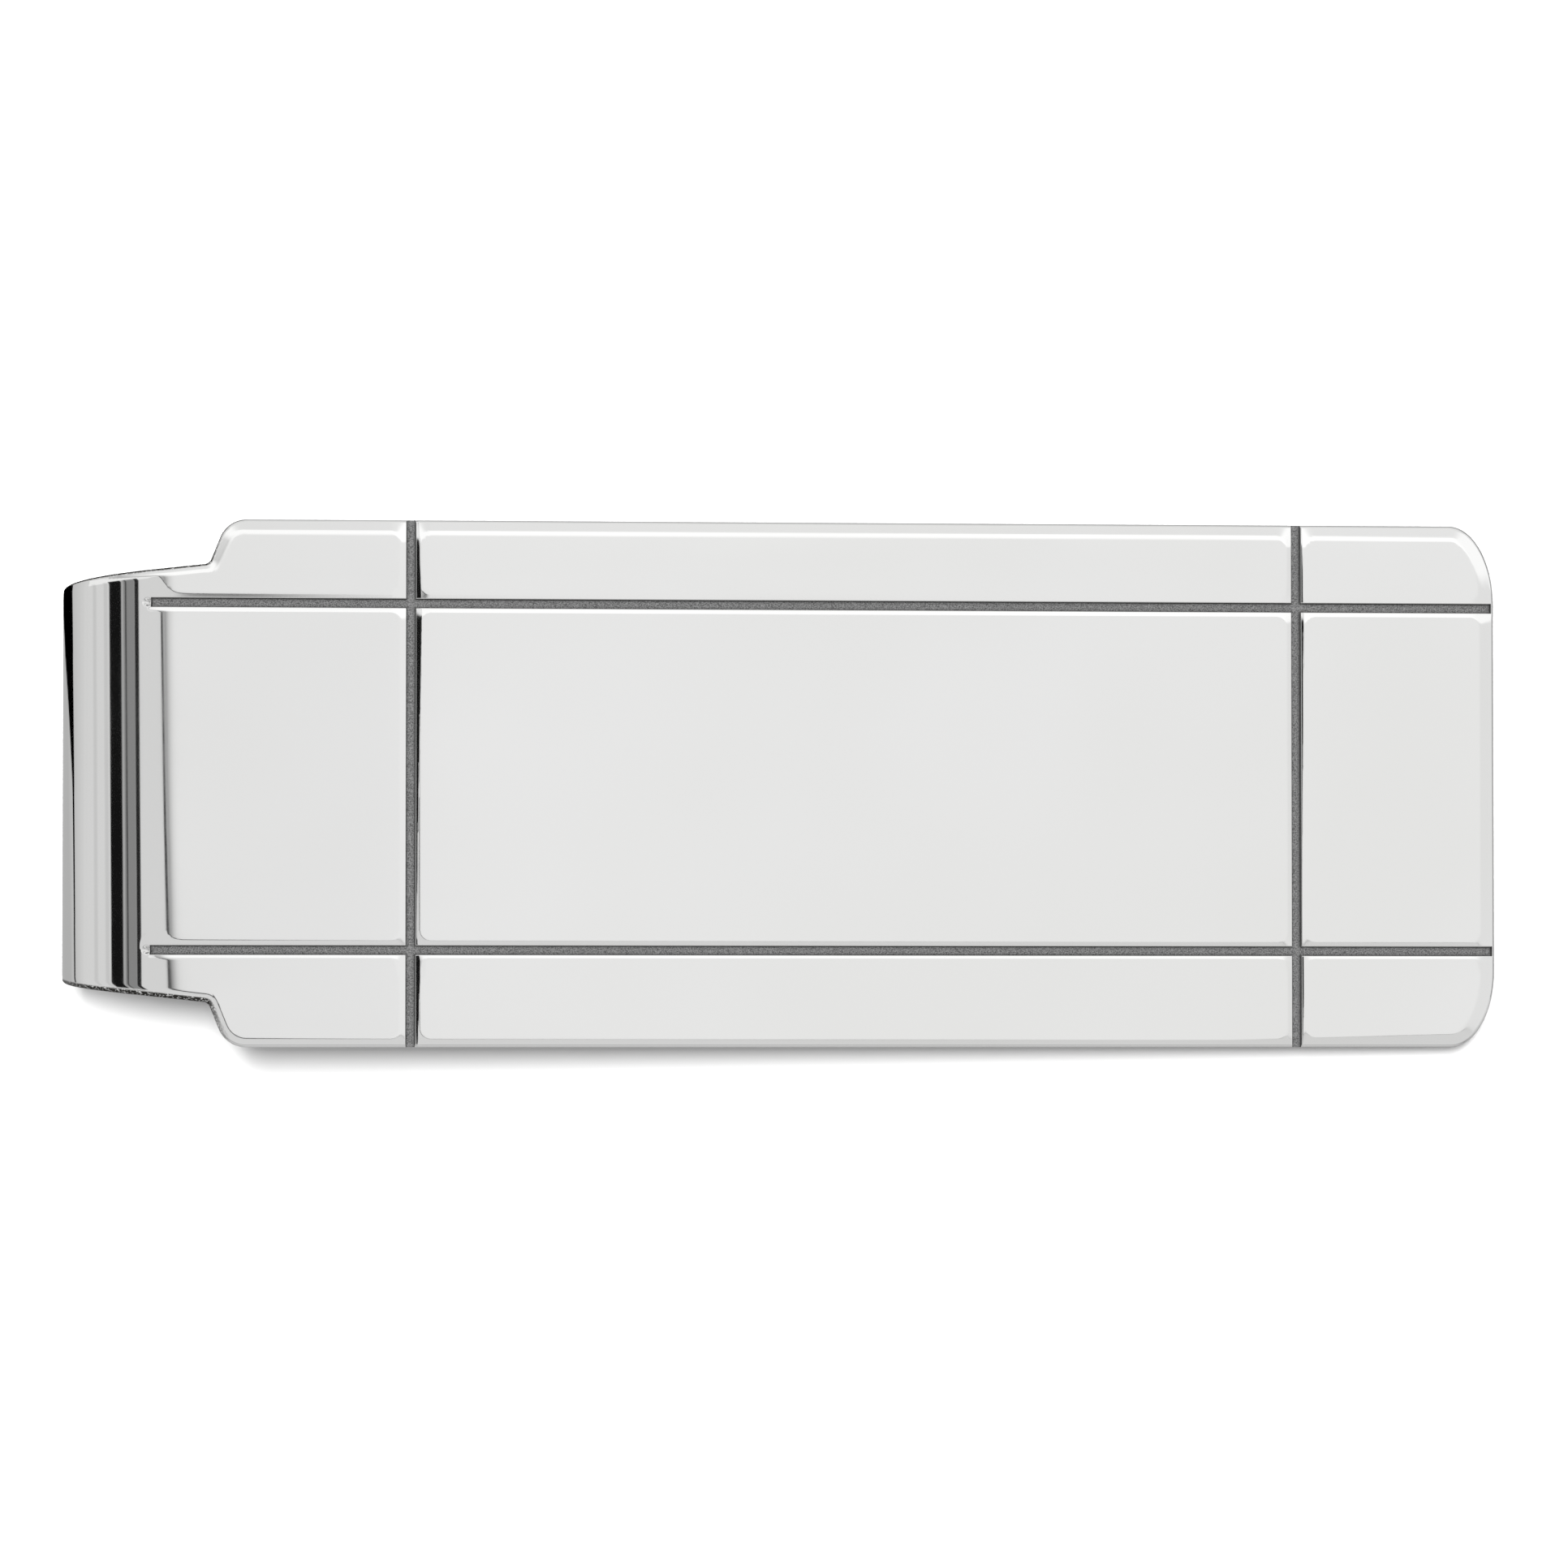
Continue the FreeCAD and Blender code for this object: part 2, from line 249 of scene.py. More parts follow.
def tongue_edge():
    """Half width of the tongue from its round tip back to the fold."""
    points = []
    for angle in np.linspace(0, math.pi / 2, TIP_POINTS):
        back = TIP_ROUND * (1 - math.sin(angle))
        points.append((STRIP_END_S + TIP_ROUND * (1 - math.cos(angle)), TIP_HALF - back))
    return points + [(FOLD_END_S, TONGUE_ROOT_HALF)]


# The fold's own edge runs straight from the tongue's last point to the plate's first
EDGE = tongue_edge() + plate_edge()
EDGE_S = np.array([s for s, _ in EDGE])
EDGE_V = np.array([v for _, v in EDGE])


def half_width(s):
    """Half width of the strip at a place along it."""
    return np.interp(s, EDGE_S, EDGE_V)


def to_edge(s, v):
    """Distance to the strip's edge and the unit direction towards it, in (s, v)."""
    outline = np.vstack([(STRIP_END_S, 0.0), np.column_stack([EDGE_S, EDGE_V]), (PLATE_L, 0.0)])
    points = np.column_stack([s, np.abs(v)])
    distance = np.full(len(points), np.inf)
    way = np.zeros_like(points)
    for start, finish in zip(outline, outline[1:]):
        along = finish - start
        share = np.clip((points - start) @ along / (along @ along), 0, 1)
        gap = start + share[:, None] * along - points
        away = np.hypot(gap[:, 0], gap[:, 1])
        normal = np.array([-along[1], along[0]]) / math.hypot(*along)
        nearer = away < distance - TINY
        distance = np.where(nearer, away, distance)
        unit = np.where(away[:, None] > ON_EDGE, gap / np.maximum(away, TINY)[:, None], normal)
        way = np.where(nearer[:, None], unit, way)
    way[:, 1] *= np.where(v < 0, -1, 1)
    return distance, way


def curve(value, stops):
    """Straight lines between (place, value) stops."""
    places, values = zip(*stops)
    return np.interp(value, places, values)


# ---------------------------------------------------------------- surface relief
def grooves():
    """Each groove's middle and half size along s and v, and a cross groove's chamfer."""
    middle = ((GROOVE_START + GROOVE_FINISH) / 2, 0.0)
    half = ((GROOVE_FINISH - GROOVE_START) / 2, GROOVE_HALF)
    long_ones = [{"middle": (middle[0], v), "half": half, "chamfer": None} for v in GROOVE_V]
    half = (GROOVE_HALF, 2 * PLATE_HALF)
    cross_ones = [
        {"middle": (s, 0.0), "half": half, "chamfer": chamfer}
        for s, chamfer in zip(CROSS_GROOVES, CROSS_CHAMFERS)
    ]
    return long_ones + cross_ones


def to_groove(s, v, groove):
    """Signed distance to a groove's rim, below zero inside it, and the direction towards it."""
    middle_s, middle_v = groove["middle"]
    half_s, half_v = groove["half"]
    out_s = np.abs(s - middle_s) - half_s
    out_v = np.abs(v - middle_v) - half_v
    reach_s, reach_v = np.maximum(out_s, 0), np.maximum(out_v, 0)
    outside = np.hypot(reach_s, reach_v)
    distance = np.where(outside > 0, outside, np.maximum(out_s, out_v))
    along_s = out_s >= out_v
    scale = np.maximum(outside, TINY)
    way_s = np.where(outside > ON_RIM, reach_s / scale, along_s * 1.0) * -np.sign(s - middle_s)
    way_v = np.where(outside > ON_RIM, reach_v / scale, ~along_s * 1.0) * -np.sign(v - middle_v)
    return distance, np.column_stack([way_s, way_v])


def roll(ease):
    """Depth and steepness of a roll that eases in over its first unit and then falls evenly."""
    part = np.minimum(ease, 1)
    return part ** 3 - part ** 4 / 2 + np.maximum(ease - 1, 0), 3 * part ** 2 - 2 * part ** 3


def edge_round(distance, radius):
    """Depth and steepness of the small round at an edge itself."""
    lean = np.clip(1 - np.maximum(distance, 0) / radius, 0, STEEPEST)
    upright = np.sqrt(1 - lean ** 2)
    return radius * (1 - upright), lean / upright


def edge_fall(distance, edge, reach):
    """Depth and steepness of the surface beside a single edge, at a distance from it."""
    rolled, steep = roll(np.maximum((reach - distance) / edge["soft"], 0))
    depth, steepness = edge_round(distance, edge["round"])
    return depth + edge["lean"] * edge["soft"] * rolled, steepness + edge["lean"] * steep


def joined_rolls(sides, corner):
    """Depth and lean of the rolls beside several edges, joined at a radius where they meet."""
    pull = 0.0
    weight = lean = soft = TINY
    for distance, way, edge, reach in sides:
        near = np.maximum(reach - distance + corner, 0)
        pull = pull + near[:, None] * way
        weight = weight + near
        lean = lean + near * edge["lean"]
        soft = soft + near * edge["soft"]
    length = np.linalg.norm(pull, axis=1)
    soft = soft / weight
    lean = lean / weight
    rolled, steep = roll(np.maximum(length - corner, 0) / soft)
    return lean * soft * rolled, (lean * steep / np.maximum(length, TINY))[:, None] * pull


def groove_reach(s, v, groove):
    """How far out from a groove its roll starts: further at +v where a long groove starts."""
    if groove["chamfer"] is not None:
        return np.full_like(s, GROOVE_REACH)
    wider = NECK_REACH * np.exp(-((s - NECK_REACH_S) / NECK_REACH_FADE) ** 2)
    return np.where(v > groove["middle"][1], GROOVE_REACH + wider, GROOVE_REACH_IN_FRONT)


def groove_rim(s, v, groove, gap):
    """Depth and steepness of a groove's rim: a small round, or a worn slope beyond a cross groove."""
    depth, steepness = edge_round(gap, GROOVE_EDGE["round"])
    if groove["chamfer"] is None:
        return depth, steepness
    width, lean = groove["chamfer"]
    edge = {"lean": lean, "soft": CHAMFER_SOFT, "round": CHAMFER_ROUND}
    worn_depth, worn_steepness = edge_fall(gap, edge, width * curve(v, CHAMFER_SHARE))
    beyond = s > groove["middle"][0]
    return np.where(beyond, worn_depth, depth), np.where(beyond, worn_steepness, steepness)


def sheared_skin_and_dark_reflection(s, v, distance):
    """How much of the rough dark skin, with its painted dark reflection, shows: 1 on the edge of the neck, 0
    on the polished faces.
    """
    width = np.where(v > 0, SHEARED_AT_BACK, SHEARED_AT_FRONT)
    across = np.clip((width - distance) / SHEARED_SOFT + 0.5, 0, 1)
    first, last = SHEARED_S
    along = np.clip((s - first) / SHEARED_FADE, 0, 1) * np.clip((last - s) / SHEARED_FADE, 0, 1)
    return across * along


def onto_plate(s):
    """0 on the fold and the neck, 1 past the shoulder."""
    return np.clip((s - CREASE_S) / (SHOULDER[0] - CREASE_S), 0, 1)


def outer_reach(s, v):
    """How far in from the edge the polished roll starts, round the strip's outline."""
    side = np.where(v > 0, REACH_AT_BACK, REACH_AT_FRONT)
    to_end = np.clip((s - PLATE_L + PLATE_HALF) / (PLATE_HALF - CORNER_ALONG), 0, 1)
    on_plate = side + to_end * (REACH_AT_END - side)
    return REACH_ON_FOLD + onto_plate(s) * (on_plate - REACH_ON_FOLD)


def dimple(s, v):
    """Depth and slope of the round pits where the long grooves run out on the fold."""
    depth = np.zeros(len(s))
    slope = np.zeros((len(s), 2))
    for middle_v in GROOVE_V:
        gap = np.column_stack([s - DIMPLE_S, v - middle_v]) / DIMPLE_R
        ring = np.clip(1 - (gap ** 2).sum(1), 0, 1)
        depth += DIMPLE_DEPTH * ring ** 2
        slope -= (4 * DIMPLE_DEPTH / DIMPLE_R * ring)[:, None] * gap
    return depth, slope


def outer_relief(s, v):
    """Depth below the plain outer surface, its lean along (s, v), and the distances to groove and edge."""
    distance, way = to_edge(s, v)
    reach = outer_reach(s, v)
    sides = [(distance, way, OUTER_EDGE, reach)]
    depth, steepness = edge_round(distance, OUTER_EDGE["round"])
    lean = steepness[:, None] * way
    into = np.full(len(s), np.inf)
    for groove in grooves():
        gap, towards = to_groove(s, v, groove)
        outside = np.maximum(gap, 0)
        sides.append((outside, towards, GROOVE_EDGE, groove_reach(s, v, groove)))
        rim_depth, steepness = groove_rim(s, v, groove, outside)
        depth = depth + rim_depth
        lean = lean + steepness[:, None] * towards
        into = np.minimum(into, gap)
    rolled, rolled_lean = joined_rolls(sides, PANEL_CORNER * onto_plate(s))
    pit, pit_slope = dimple(s, v)
    plain = into > -WALL_LEAN / 2
    floor_depth = np.maximum(GROOVE_DEPTH, edge_fall(distance, OUTER_EDGE, reach)[0])
    depth = np.where(plain, depth + rolled + pit, floor_depth)
    return depth, lean + rolled_lean + pit_slope, into, distance


def inner_relief(s, v):
    """Depth above the plain inner surface and its lean along (s, v)."""
    distance, way = to_edge(s, v)
    depth, steepness = edge_fall(distance, INNER_EDGE, INNER_REACH)
    return depth, steepness[:, None] * way


# ---------------------------------------------------------------- mesh of one zone
def side_rows(half, taper, groove_v):
    """Distances from the middle of the rows on one side of the strip, from the edge inwards."""
    free_from = groove_v + FREE_ROWS_PAST
    span = (half - free_from * taper) / (PLATE_HALF - free_from)
    near_edge = [half - span * d for d in EDGE_ROWS]
    offsets = {side * d for d in GROOVE_ROWS for side in (1, -1) if side * d < FREE_ROWS_PAST}
    near_groove = sorted((groove_v + d for d in offsets), reverse=True)
    return near_edge + [free_from * taper] + [v * taper for v in near_groove]


def across_rows(half, taper):
    """v of every row of vertices at one station, from the +v edge to the -v edge."""
    upper = side_rows(half, taper, GROOVE_V[0])
    lower = [-v for v in reversed(side_rows(half, taper, -GROOVE_V[1]))]
    count = math.ceil((GROOVE_V[0] - GROOVE_V[1]) / PANEL_ROW_GAP)
    panel = [upper[-1] + (lower[0] - upper[-1]) * k / count for k in range(1, count)]
    return np.array(upper + panel + lower)


def stations(start, finish, special):
    """Places along the strip from start to finish: the special ones, and fillers between them."""
    marks = sorted({start, finish} | {s for s in special if start < s < finish})
    found = []
    for a, b in zip(marks, marks[1:]):
        if b - a < SAME_STATION and b != finish:
            continue
        pieces = max(1, math.ceil((b - a) / STATION_GAP))
        found += [a + (b - a) * k / pieces for k in range(pieces)]
    return np.array(found + [finish])


def groove_marks():
    """Stations that the grooves and their run-outs need."""
    marks = [s + side * d for s in CROSS_GROOVES for d in GROOVE_ROWS for side in (1, -1)]
    marks += [s + GROOVE_HALF + d for s in CROSS_GROOVES for d in CHAMFER_ROWS]
    for end, inward in ((GROOVE_START, 1), (GROOVE_FINISH, -1)):
        marks += [end, end + inward * WALL_LEAN, end + inward * RUN_OUT_INSIDE]
        marks += [end - inward * d for d in RUN_OUT_ROWS]
    dimple_steps = range(-DIMPLE_STEPS_BEFORE, DIMPLE_STEPS + 1)
    marks += [DIMPLE_S + DIMPLE_R * k / DIMPLE_STEPS for k in dimple_steps]
    return marks


def place(s, v, depth):
    """Points in the row's frame, in metres, at a depth below the outer surface."""
    u, w, turn = side_view(s)
    height = STRIP / 2 - depth
    u = u - height * np.sin(turn)
    w = w + height * np.cos(turn)
    return laid_down(u, v, w) * MM + FOLD_AXIS


def laid_down(u, v, w):
    """Turns (u, v, w) of the plate's own frame into the row's frame."""
    cos, sin = math.cos(TILT), math.sin(TILT)
    return np.column_stack([u * cos + w * sin, v, w * cos - u * sin])


def directions(s, lean, outer):
    """Unit normals in the row's frame for a surface that leans along (s, v)."""
    turn = softened(s, side_view(s)[2])
    sign = 1 if outer else -1
    u = lean[:, 0] * np.cos(turn) - sign * np.sin(turn)
    w = lean[:, 0] * np.sin(turn) + sign * np.cos(turn)
    normal = laid_down(u, lean[:, 1], w)
    return normal / np.linalg.norm(normal, axis=1)[:, None]


def zone_grid(along):
    """v of every row at each station: the rows draw together where the strip narrows."""
    taper_from = half_width(ROWS_TAPER_FROM)
    grid = []
    for s in along:
        half = float(half_width(s))
        taper = min(1.0, half / taper_from) if s < ROWS_TAPER_FROM else 1.0
        grid.append(across_rows(half, taper))
    return np.array(grid)


def strip_zone(name, start, finish, special, smooth_start, smooth_finish):
    """Closed mesh of the strip between two stations."""
    along = stations(start, finish, special)
    grid = zone_grid(along)
    count, rows = grid.shape
    s = np.repeat(along, rows)
    v = grid.ravel()
    depth, lean, into, distance = outer_relief(s, v)
    back_depth, back_lean = inner_relief(s, v)
    points = np.vstack([place(s, v, depth), place(s, v, STRIP - back_depth)])
    normals = np.vstack([directions(s, lean, True), directions(s, back_lean, False)])
    faces, flat = zone_faces(count, rows, smooth_start, smooth_finish)
    mesh = bpy.data.meshes.new(name)
    mesh.from_pydata(points.tolist(), [], faces)
    middle = np.array([np.mean(into[np.array(f) % len(s)]) for f in faces])
    on_top = np.array([max(f) < len(s) for f in faces])
    cut = on_top & (middle < -ON_EDGE)
    mesh.polygons.foreach_set("material_index", cut.astype(np.int32))
    mesh.polygons.foreach_set("use_smooth", np.ones(len(faces), bool))
    set_normals(mesh, normals, cut | flat)
    wear = np.exp(-np.minimum(distance, np.maximum(into, 0)) / WEAR_FADE)
    paint(mesh, "edge_wear", wear, wear)
    # Rough sheared skin, whose dark colour is partly a painted reflection along the neck's edges
    paint(mesh, "sheared_skin_and_dark_reflection", sheared_skin_and_dark_reflection(s, v, distance), 0 * s)
    # Painted shade: the groove material darkens its floor towards the corners with this
    paint(mesh, "corner", np.exp(-np.abs(into) / CORNER_SHADE_FADE), 0 * s)
    piece = bpy.data.objects.new(name, mesh)
    bpy.context.scene.collection.objects.link(piece)
    return piece


def paint(mesh, name, *surfaces):
    """Stores a value for each point, one surface after another, for the materials to read."""
    values = np.concatenate(surfaces).astype(np.float32)
    mesh.attributes.new(name, "FLOAT", "POINT").data.foreach_set("value", values)


def zone_faces(count, rows, smooth_start, smooth_finish):
    """Quads of the outer and inner surfaces, the two side walls and the two end walls."""
    total = count * rows
    faces = []
    for i in range(count - 1):
        for j in range(rows - 1):
            a, b = i * rows + j, (i + 1) * rows + j
            faces.append((a, a + 1, b + 1, b))
            faces.append((total + a, total + b, total + b + 1, total + a + 1))
        a, b = i * rows, (i + 1) * rows
        faces.append((a, b, total + b, total + a))
        a, b = a + rows - 1, b + rows - 1
        faces.append((b, a, total + a, total + b))
    flat = [False] * len(faces)
    last = (count - 1) * rows
    for j in range(rows - 1):
        faces.append((j + 1, j, total + j, total + j + 1))
        flat.append(not smooth_start)
        faces.append((last + j, last + j + 1, total + last + j + 1, total + last + j))
        flat.append(not smooth_finish)
    return faces, np.array(flat)


def set_normals(mesh, normals, flat):
    """Gives smooth faces the surface's own normals and leaves the flat ones with their face's."""
    mesh.update()
    loops = np.zeros(len(mesh.loops), np.int32)
    mesh.loops.foreach_get("vertex_index", loops)
    custom = normals[loops]
    for polygon in mesh.polygons:
        if flat[polygon.index]:
            for loop in polygon.loop_indices:
                custom[loop] = polygon.normal
    mesh.normals_split_custom_set([tuple(n) for n in custom])


# ---------------------------------------------------------------- materials
# Noise scales are in features per metre, heights in metres, and ranges from least to most
POLISH_BRIGHT = (0.80, 0.80, 0.797)
POLISH_WARM = (0.775, 0.775, 0.765)
CLOUD_SCALE = 70                   # slow change between the two
HAZE_SCALE = 160
HAZE_ROUGHNESS = (0.03, 0.06)
HAIRLINE_SCALE = 900
HAIRLINE_STRETCH = (0.05, 1, 1)    # long along the clip
HAIRLINE_ROUGHNESS = (0.0, 0.015)
WORN_ROUGHNESS = 0.02
SWELL_SCALE = 220
SWELL_HEIGHT = 0.00002
SWELL_STRENGTH = 0.1

# Dark colour of the sheared skin, which also serves as a painted reflection along the neck's edges
SHEARED_SKIN_AND_REFLECTION_TONE = (0.035, 0.033, 0.03)
SHEARED_ROUGHNESS = 0.35
SPECK_SCALE = 15000
SPECK_RANGE = (0.32, 0.48)
PIT_HEIGHT = 0.00003
PIT_STRENGTH = 0.7

GROOVE_METALLIC = 0.6
GROOVE_TONES = ((0.06,) * 3, (0.23,) * 3)
# Colour of the painted shade in a groove's corners, and how much of it shows
GROOVE_CORNER_SHADE_TONE = (0.03,) * 3
GROOVE_CORNER_SHADE_SHARE = 0.75
GROOVE_ROUGHNESS = (0.45, 0.6)
GRAIN_SCALE = 24000
GRAIN_RANGE = (0.35, 0.65)
GRAIN_HEIGHT = 0.00002
GRAIN_STRENGTH = 0.4


def new_material(name):
    """A material with its nodes and links."""
    material = bpy.data.materials.new(name)
    material.use_nodes = True
    return material, material.node_tree.nodes, material.node_tree.links


def noise(nodes, links, coordinates, scale, detail=2.0, stretch=(1, 1, 1)):
    """A noise texture in object space, in features per metre, stretched along the axes."""
    mapping = nodes.new("ShaderNodeMapping")
    mapping.inputs["Scale"].default_value = stretch
    texture = nodes.new("ShaderNodeTexNoise")
    texture.inputs["Scale"].default_value = scale
    texture.inputs["Detail"].default_value = detail
    links.new(coordinates.outputs["Object"], mapping.inputs["Vector"])
    links.new(mapping.outputs["Vector"], texture.inputs["Vector"])
    return texture.outputs["Fac"]


def ramp(nodes, links, source, low, high, from_low=0.3, from_high=0.7):
    """Maps a noise to a range of values."""
    node = nodes.new("ShaderNodeMapRange")
    node.inputs["From Min"].default_value = from_low
    node.inputs["From Max"].default_value = from_high
    node.inputs["To Min"].default_value = low
    node.inputs["To Max"].default_value = high
    links.new(source, node.inputs["Value"])
    return node.outputs["Result"]


def attribute(nodes, name):
    """A value painted on the mesh's points."""
    node = nodes.new("ShaderNodeAttribute")
    node.attribute_name = name
    return node.outputs["Fac"]


def maths(nodes, links, operation, *values):
    """A maths node from numbers and sockets."""
    node = nodes.new("ShaderNodeMath")
    node.operation = operation
    for socket, value in zip(node.inputs, values):
        if isinstance(value, (int, float)):
            socket.default_value = value
        else:
            links.new(value, socket)
    return node.outputs[0]


def blend_colours(nodes, links, share, first, second):
    """A mix of two colours, each three numbers or a socket."""
    node = nodes.new("ShaderNodeMix")
    node.data_type = "RGBA"
    links.new(share, node.inputs["Factor"])
    for name, colour in (("A", first), ("B", second)):
        if isinstance(colour, tuple):
            node.inputs[name].default_value = (*colour, 1)
        else:
            links.new(colour, node.inputs[name])
    return node.outputs["Result"]


def bump(nodes, links, height, strength, distance, below=None):
    """A bump in metres, on top of another one."""
    node = nodes.new("ShaderNodeBump")
    node.inputs["Strength"].default_value = strength
    node.inputs["Distance"].default_value = distance
    links.new(height, node.inputs["Height"])
    if below is not None:
        links.new(below, node.inputs["Normal"])
    return node.outputs["Normal"]


def polished_metal():
    """Bright white polish with buffing haze, hairlines, softer worn edges and the neck's sheared skin, whose
    dark colour is partly a painted reflection.
    """
    material, nodes, links = new_material("polished_strip")
    shader = nodes["Principled BSDF"]
    shader.inputs["Metallic"].default_value = 1.0
    coordinates = nodes.new("ShaderNodeTexCoord")
    haze = noise(nodes, links, coordinates, HAZE_SCALE, 3)
    hairlines = noise(nodes, links, coordinates, HAIRLINE_SCALE, 2, HAIRLINE_STRETCH)
    clouds = noise(nodes, links, coordinates, CLOUD_SCALE, 2)
    swell = noise(nodes, links, coordinates, SWELL_SCALE, 2)
    specks = noise(nodes, links, coordinates, SPECK_SCALE, 3)
    speckle = ramp(nodes, links, specks, 0, 1, *SPECK_RANGE)
    skin_and_dark_reflection = maths(nodes, links, "MULTIPLY", attribute(nodes, "sheared_skin_and_dark_reflection"), speckle)

    worn = maths(nodes, links, "MULTIPLY", attribute(nodes, "edge_wear"), WORN_ROUGHNESS)
    fine = maths(nodes, links, "ADD", worn, ramp(nodes, links, hairlines, *HAIRLINE_ROUGHNESS))
    smooth = maths(nodes, links, "ADD", fine, ramp(nodes, links, haze, *HAZE_ROUGHNESS))
    rough = maths(nodes, links, "MULTIPLY_ADD", skin_and_dark_reflection, SHEARED_ROUGHNESS, smooth)
    links.new(rough, shader.inputs["Roughness"])

    share = ramp(nodes, links, clouds, 0, 1)
    bright = blend_colours(nodes, links, share, POLISH_BRIGHT, POLISH_WARM)
    colour = blend_colours(nodes, links, skin_and_dark_reflection, bright, SHEARED_SKIN_AND_REFLECTION_TONE)
    links.new(colour, shader.inputs["Base Color"])

    polish = bump(nodes, links, swell, SWELL_STRENGTH, SWELL_HEIGHT)
    pits = maths(nodes, links, "MULTIPLY", skin_and_dark_reflection, specks)
    relief = bump(nodes, links, pits, PIT_STRENGTH, PIT_HEIGHT, polish)
    links.new(relief, shader.inputs["Normal"])
    return material


def groove_floor():
    """Dark grey satin of the cut grooves, finely grained by the cutter, with painted shade darkening the
    corners.
    """
    material, nodes, links = new_material("groove")
    shader = nodes["Principled BSDF"]
    shader.inputs["Metallic"].default_value = GROOVE_METALLIC
    coordinates = nodes.new("ShaderNodeTexCoord")
    grain = noise(nodes, links, coordinates, GRAIN_SCALE, 2)
    cut = ramp(nodes, links, grain, 0, 1, *GRAIN_RANGE)
    floor_tone = blend_colours(nodes, links, cut, *GROOVE_TONES)
    # Painted shade darkens the groove towards its corners
    corner = maths(nodes, links, "MULTIPLY", attribute(nodes, "corner"), GROOVE_CORNER_SHADE_SHARE)
    tone = blend_colours(nodes, links, corner, floor_tone, GROOVE_CORNER_SHADE_TONE)
    links.new(tone, shader.inputs["Base Color"])
    links.new(ramp(nodes, links, grain, *GROOVE_ROUGHNESS), shader.inputs["Roughness"])
    links.new(bump(nodes, links, grain, GRAIN_STRENGTH, GRAIN_HEIGHT), shader.inputs["Normal"])
    return material


def glowing(name):
    """Cloth whose light is painted on its mesh."""
    material, nodes, links = new_material(name)
    emission = nodes.new("ShaderNodeEmission")
    links.new(attribute(nodes, "glow"), emission.inputs["Strength"])
    links.new(emission.outputs[0], nodes["Material Output"].inputs["Surface"])
    return material


# ---------------------------------------------------------------- studio
# The clip lies in a light tent: a tunnel of cloth along Y over the fold's axis, closed at both ends,
# and white card on the table. The tent shows only in the metal; the table lies under plain soft light.
# Places round the tunnel are degrees from overhead, towards the fold's side, and places along it are
# metres in Y. A panel is (first place, last place, tone, softness of its edges), and a later panel
# hangs in front of an earlier one.
TENT_R = 0.42
TENT_HALF = 0.42
AHEAD_Y = 0.016          # what the middle of the clip mirrors to the camera
BAND_LEAN = 130.0        # the panels over the fold lean, degrees for each metre along Y

# The white cloth over the plate
PLATE_CLOTH = 1.0
PLATE_PANELS = (
    (-100, -72, 0.15, 8),        # the dark foot of the tent beyond the free end
    (-72, -47.5, 0.85, 5),       # plain cloth, a little darker than the rest
    (-47.5, -26, 0.93, 4),
    (-9.3, 20, 0.96, 0.6),
)

# The grey cloth over the fold
FOLD_CLOTH = 0.80
FOLD_PANELS = (
    (21.2, 26.2, 0.02, 0.9),     # narrow black flag
    (26.2, 41.2, 0.285, 1.2),    # grey card between the flags,
    (35.7, 37.2, 0.03, 1.1),     # with a seam in it
    (39.2, 41.4, 0.47, 1.0),     # and a bright slit beside the wide black flag
    (41.8, 57.2, 0.008, 1.2),
    (59.5, 64.6, 0.69, 1.5),     # two folds of the cloth
    (75.5, 80.8, 0.70, 2.0),
)
BANDS_REACH = (-0.055, 0.060)    # the flags' ends, along the tunnel
BANDS_FADE = 0.008

# The two cloths meet along a leaning border that turns away at both ends. A black gap runs along it,
# and beside the gap the white cloth is in shade.
BORDER_ANGLE = -1.8
BORDER_TURNS = (-0.025, 0.050)
BORDER_SHARPNESS = 0.0055
GAP_HALF = 0.5
GAP_TONE = 0.0
GAP_EDGE = 0.15
PLATE_ANGLE = -6.3               # where the flat plate's own reflection starts
SHADE = ((-0.85, 1.0), (-0.65, 0.85), (-0.42, 0.58), (-0.3, 0.38), (-0.2, 0.5))

# Along the tunnel
LENGTHWISE_PANELS = (
    (0.045, 0.098, 1.3, 0.007),  # lights towards the back, with plain cloth between them
    (0.098, 0.200, 0.965, 0.012),
    (0.200, 0.345, 1.1, 0.02),
    (0.345, 0.500, 0.25, 0.03),
    (-0.230, -0.120, 0.85, 0.05),
    (-0.345, -0.230, 0.62, 0.05),
    (-0.500, -0.345, 0.25, 0.03),
)
END_DARK_BELOW = 0.09            # each end of the tent is dark up to this height
END_DARK_FADE = 0.02
END_DARK = 0.2
BACK_TONE = 0.95
FRONT_TONE = 0.85

# Card on the table, in millimetres from the fold's axis: shaded near the clip, with a black cord laid
# along the fold, which widens to a wedge towards the back
CARD_BESIDE = ((-60, 0.79), (-30, 0.74), (-20, 0.69), (-10.5, 0.60), (-8.6, 0.53), (-4, 0.50))
CARD_BEYOND = ((0, 0.3), (2, 0.45), (8, 0.7), (30, 0.79))
CORD = (-14.0, -12.2)
CORD_LEAN = 0.36                 # mm for each mm along Y
CORD_TONE = 0.0
WEDGE_SPREAD = 0.8
CARD_HEIGHT = 0.0002

